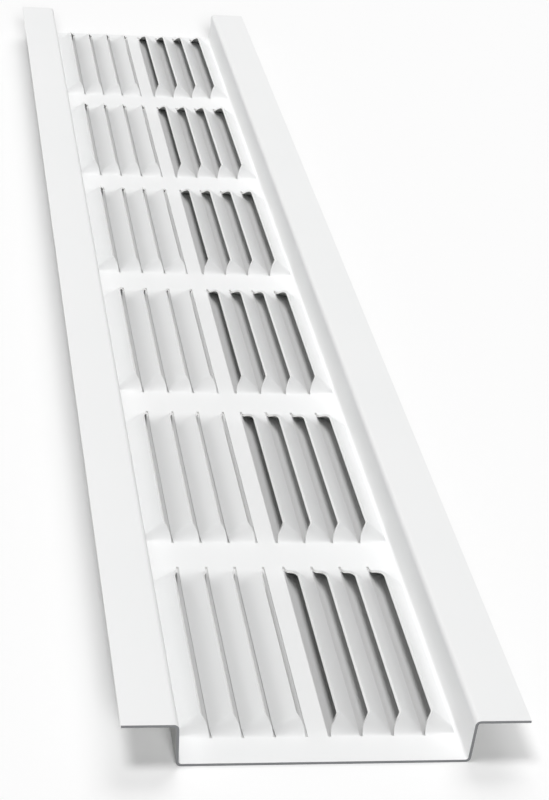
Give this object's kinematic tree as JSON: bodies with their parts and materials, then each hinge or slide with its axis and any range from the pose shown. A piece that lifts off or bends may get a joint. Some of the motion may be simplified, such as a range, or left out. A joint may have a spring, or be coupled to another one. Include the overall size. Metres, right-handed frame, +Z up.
{
  "type": "strip soffit vent",
  "caption": "Straight soffit vent strip: shallow hat-section channel of thin white-coated sheet, with banks of raised lengthwise louvres in its web and a flat flange along each side.",
  "frame": {"origin": "middle of the strip's length and width, on the underside of the web, which is the lowest face", "axes": "+X across the strip, +Y along the strip towards the end that is far in the picture, +Z up out of the open channel"},
  "size_m": [0.07, 0.381, 0.0085],
  "materials": {
    "coated_sheet": "satin"
  },
  "bodies": {
    "root": {"louvred_strip": "coated_sheet"}
  },
  "joints": []
}
